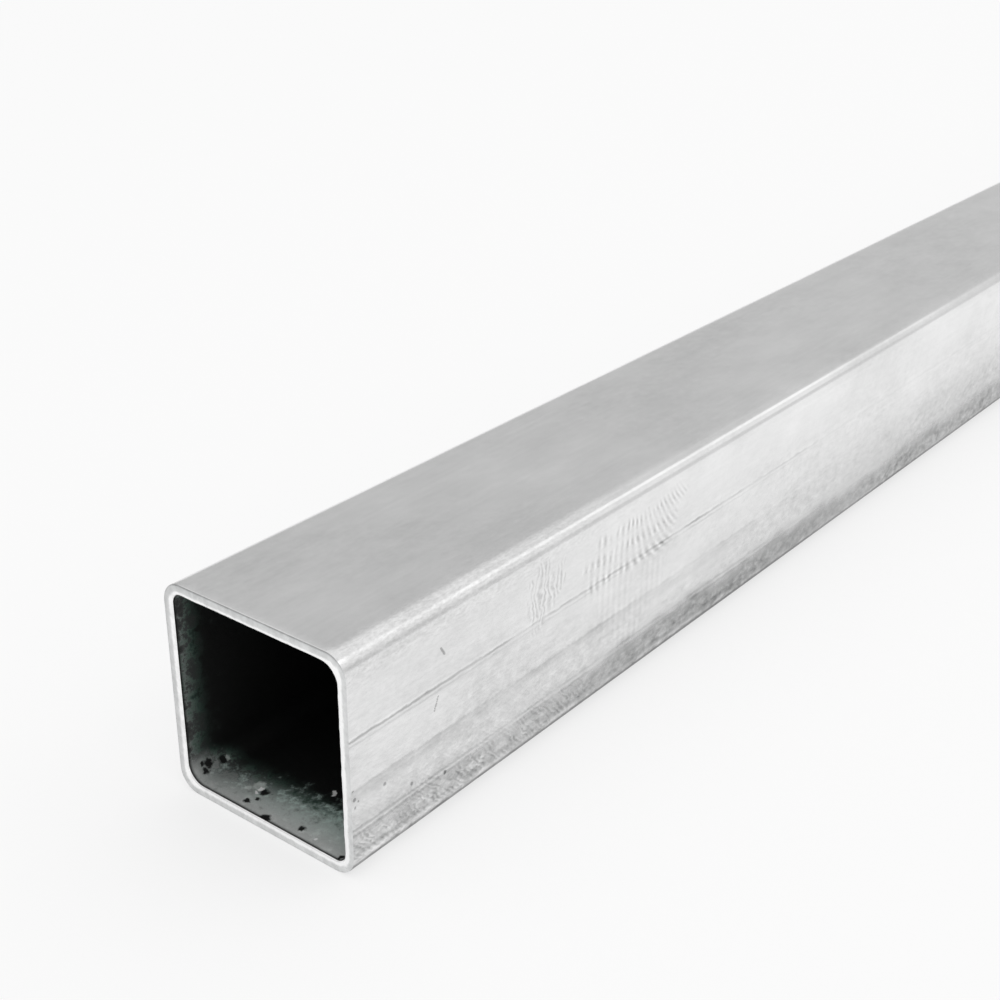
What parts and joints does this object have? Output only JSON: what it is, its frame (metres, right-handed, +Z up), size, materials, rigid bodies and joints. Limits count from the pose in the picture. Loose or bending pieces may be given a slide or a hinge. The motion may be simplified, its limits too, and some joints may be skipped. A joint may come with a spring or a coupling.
{
  "type": "square metal tube",
  "caption": "Straight length of square hollow steel tube with rounded corners and open, deburred ends, for frames, legs, rails and brackets.",
  "frame": {"origin": "middle of the underside, halfway along the tube", "axes": "+X along the tube, +Y across it from the wall with the weld line to the wall opposite, +Z up from the floor that it lies on"},
  "size_m": [1, 0.04, 0.04],
  "materials": {
    "bright_steel": "satin, as rolled"
  },
  "bodies": {
    "root": {"square_tube": "bright_steel"}
  },
  "joints": []
}
